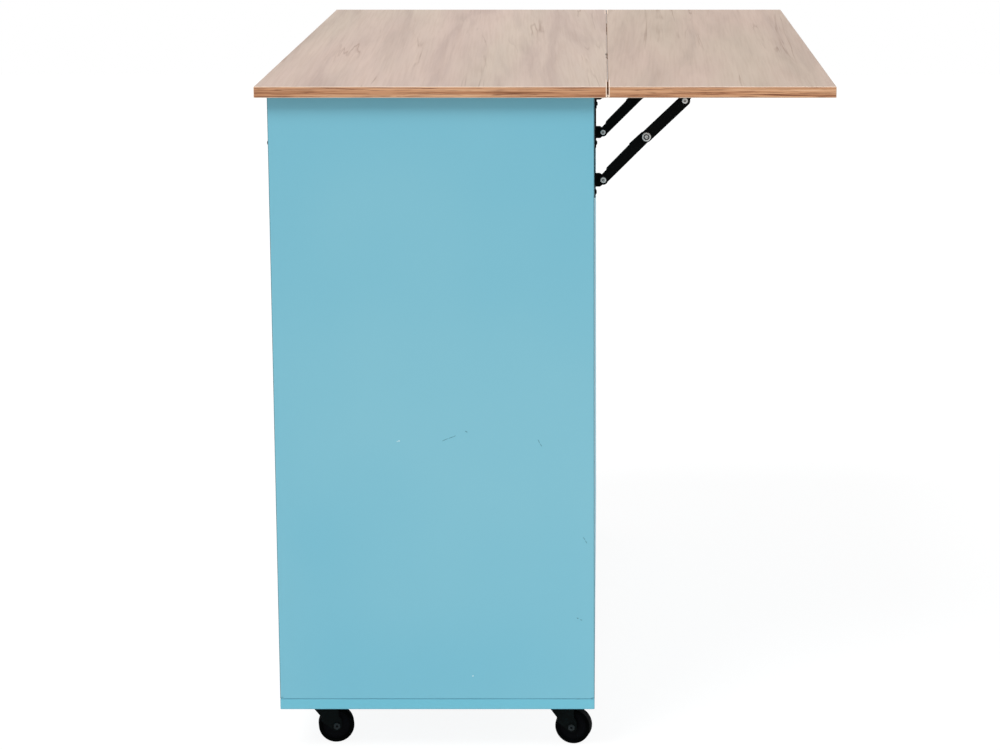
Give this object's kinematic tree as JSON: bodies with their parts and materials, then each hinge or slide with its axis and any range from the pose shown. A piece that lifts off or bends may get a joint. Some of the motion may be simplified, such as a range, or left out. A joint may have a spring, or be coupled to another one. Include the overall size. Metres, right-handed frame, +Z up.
{
  "type": "rolling kitchen sideboard",
  "caption": "Rolling kitchen sideboard on swivel casters, with drawers above doors, a wood-look laminate worktop and a drop leaf on folding brackets along the back.",
  "frame": {"origin": "on the floor, under the middle of the overall box with the leaf raised", "axes": "+X along the length, +Y from the front (drawers and doors) to the back (drop leaf), +Z up"},
  "size_m": [1.326, 0.7882, 0.929],
  "materials": {
    "painted_board": "light blue satin lacquer on board",
    "laminate_board": "matt wood-look laminate with an orange-brown edge band",
    "drawer_board": "white foil on board",
    "black_steel": "satin black",
    "black_handle": "satin black",
    "white_steel": "white epoxy",
    "zinc_steel": "zinc plated",
    "caster_wheel": "matt black"
  },
  "bodies": {
    "carcass": {"main_top": "laminate_board", "left_end_panel": "painted_board", "right_end_panel": "painted_board", "centre_partition": "painted_board", "back_panel": "painted_board", "base_board": "painted_board", "top_rails": "painted_board", "divider_rails": "painted_board", "left_shelf": "painted_board", "right_shelf": "painted_board", "shelf_pins": "zinc_steel", "cam_fittings": "zinc_steel", "assembly_screws": "zinc_steel", "door_hinge_arms": "zinc_steel", "drawer_tracks": "white_steel", "bracket_wall_plates": "black_steel", "leaf_hinges_fixed": "black_steel", "leaf_hinge_pins": "zinc_steel", "caster_plates": "black_steel"},
    "leaf": {"drop_leaf": "laminate_board", "bracket_leaf_plates": "black_steel", "leaf_hinges_moving": "black_steel"},
    "left_lower_arm": {"left_lower_arm": "black_steel"},
    "left_upper_arm": {"left_upper_arm": "black_steel"},
    "centre_lower_arm": {"centre_lower_arm": "black_steel"},
    "centre_upper_arm": {"centre_upper_arm": "black_steel"},
    "right_lower_arm": {"right_lower_arm": "black_steel"},
    "right_upper_arm": {"right_upper_arm": "black_steel"},
    "left_drawer": {"left_drawer_front": "painted_board", "left_drawer_sides": "drawer_board", "left_drawer_back": "drawer_board", "left_drawer_bottom": "drawer_board", "left_drawer_handle": "black_handle", "left_drawer_runners": "white_steel"},
    "right_drawer": {"right_drawer_front": "painted_board", "right_drawer_sides": "drawer_board", "right_drawer_back": "drawer_board", "right_drawer_bottom": "drawer_board", "right_drawer_handle": "black_handle", "right_drawer_runners": "white_steel"},
    "left_outer_door": {"left_outer_door": "painted_board", "left_outer_door_handle": "black_handle", "left_outer_door_cups": "zinc_steel"},
    "left_inner_door": {"left_inner_door": "painted_board", "left_inner_door_handle": "black_handle", "left_inner_door_cups": "zinc_steel"},
    "right_outer_door": {"right_outer_door": "painted_board", "right_outer_door_handle": "black_handle", "right_outer_door_cups": "zinc_steel"},
    "right_inner_door": {"right_inner_door": "painted_board", "right_inner_door_handle": "black_handle", "right_inner_door_cups": "zinc_steel"},
    "right_front_fork": {"right_front_fork": "black_steel"},
    "right_front_wheel": {"right_front_wheel": "caster_wheel"},
    "right_back_fork": {"right_back_fork": "black_steel"},
    "right_back_wheel": {"right_back_wheel": "caster_wheel"},
    "left_front_fork": {"left_front_fork": "black_steel"},
    "left_front_wheel": {"left_front_wheel": "caster_wheel"},
    "left_back_fork": {"left_back_fork": "black_steel"},
    "left_back_wheel": {"left_back_wheel": "caster_wheel"}
  },
  "joints": [
    {"name": "leaf_hinge", "type": "hinge", "parent": "carcass", "child": "leaf", "pos_m": [0, 0.08985, 0.9088], "axis": [-1, 0, 0], "range_deg": [0, 90]},
    {"name": "left_wall_pivot", "type": "hinge", "parent": "carcass", "child": "left_lower_arm", "pos_m": [-0.565, 0.08395, 0.7913], "axis": [1, 0, 0], "range_deg": [-0.5, 44.85]},
    {"name": "left_leaf_pivot", "type": "hinge", "parent": "leaf", "child": "left_upper_arm", "pos_m": [-0.565, 0.19485, 0.9007], "axis": [-1, 0, 0], "range_deg": [-0.5, 45.65]},
    {"name": "centre_wall_pivot", "type": "hinge", "parent": "carcass", "child": "centre_lower_arm", "pos_m": [0, 0.08395, 0.7913], "axis": [1, 0, 0], "range_deg": [-0.5, 44.85]},
    {"name": "centre_leaf_pivot", "type": "hinge", "parent": "leaf", "child": "centre_upper_arm", "pos_m": [0, 0.19485, 0.9007], "axis": [-1, 0, 0], "range_deg": [-0.5, 45.65]},
    {"name": "right_wall_pivot", "type": "hinge", "parent": "carcass", "child": "right_lower_arm", "pos_m": [0.565, 0.08395, 0.7913], "axis": [1, 0, 0], "range_deg": [-0.5, 44.85]},
    {"name": "right_leaf_pivot", "type": "hinge", "parent": "leaf", "child": "right_upper_arm", "pos_m": [0.565, 0.19485, 0.9007], "axis": [-1, 0, 0], "range_deg": [-0.5, 45.65]},
    {"name": "left_drawer_slide", "type": "slide", "parent": "carcass", "child": "left_drawer", "axis": [0, -1, 0], "range_m": [0, 0.25]},
    {"name": "right_drawer_slide", "type": "slide", "parent": "carcass", "child": "right_drawer", "axis": [0, -1, 0], "range_m": [0, 0.25]},
    {"name": "left_outer_door_hinge", "type": "hinge", "parent": "carcass", "child": "left_outer_door", "pos_m": [-0.6305, -0.36515, 0.403], "axis": [0, 0, -1], "range_deg": [0, 100]},
    {"name": "left_inner_door_hinge", "type": "hinge", "parent": "carcass", "child": "left_inner_door", "pos_m": [-0.01, -0.36515, 0.403], "axis": [0, 0, 1], "range_deg": [0, 85]},
    {"name": "right_outer_door_hinge", "type": "hinge", "parent": "carcass", "child": "right_outer_door", "pos_m": [0.6305, -0.36515, 0.403], "axis": [0, 0, 1], "range_deg": [0, 100]},
    {"name": "right_inner_door_hinge", "type": "hinge", "parent": "carcass", "child": "right_inner_door", "pos_m": [0.01, -0.36515, 0.403], "axis": [0, 0, -1], "range_deg": [0, 85]},
    {"name": "right_front_swivel", "type": "hinge", "parent": "carcass", "child": "right_front_fork", "pos_m": [0.597, -0.31415, 0.062], "axis": [0, 0, 1], "continuous": true},
    {"name": "right_front_roll", "type": "hinge", "parent": "right_front_fork", "child": "right_front_wheel", "pos_m": [0.59432, -0.29231, 0.025], "axis": [0.9925, 0.1219, 0], "continuous": true},
    {"name": "right_back_swivel", "type": "hinge", "parent": "carcass", "child": "right_back_fork", "pos_m": [0.597, 0.02085, 0.062], "axis": [0, 0, 1], "continuous": true},
    {"name": "right_back_roll", "type": "hinge", "parent": "right_back_fork", "child": "right_back_wheel", "pos_m": [0.60157, 0.04237, 0.025], "axis": [0.9781, -0.2079, 0], "continuous": true},
    {"name": "left_front_swivel", "type": "hinge", "parent": "carcass", "child": "left_front_fork", "pos_m": [-0.597, -0.31415, 0.062], "axis": [0, 0, 1], "continuous": true},
    {"name": "left_front_roll", "type": "hinge", "parent": "left_front_fork", "child": "left_front_wheel", "pos_m": [-0.597, -0.29215, 0.025], "axis": [1, 0, 0], "continuous": true},
    {"name": "left_back_swivel", "type": "hinge", "parent": "carcass", "child": "left_back_fork", "pos_m": [-0.597, 0.02085, 0.062], "axis": [0, 0, 1], "continuous": true},
    {"name": "left_back_roll", "type": "hinge", "parent": "left_back_fork", "child": "left_back_wheel", "pos_m": [-0.597, 0.04285, 0.025], "axis": [1, 0, 0], "continuous": true}
  ],
  "couplings": [
    {"joint": "left_wall_pivot", "follows": "leaf_hinge", "ratio": 0.4928},
    {"joint": "left_leaf_pivot", "follows": "leaf_hinge", "ratio": 0.50167},
    {"joint": "centre_wall_pivot", "follows": "leaf_hinge", "ratio": 0.4928},
    {"joint": "centre_leaf_pivot", "follows": "leaf_hinge", "ratio": 0.50167},
    {"joint": "right_wall_pivot", "follows": "leaf_hinge", "ratio": 0.4928},
    {"joint": "right_leaf_pivot", "follows": "leaf_hinge", "ratio": 0.50167}
  ]
}
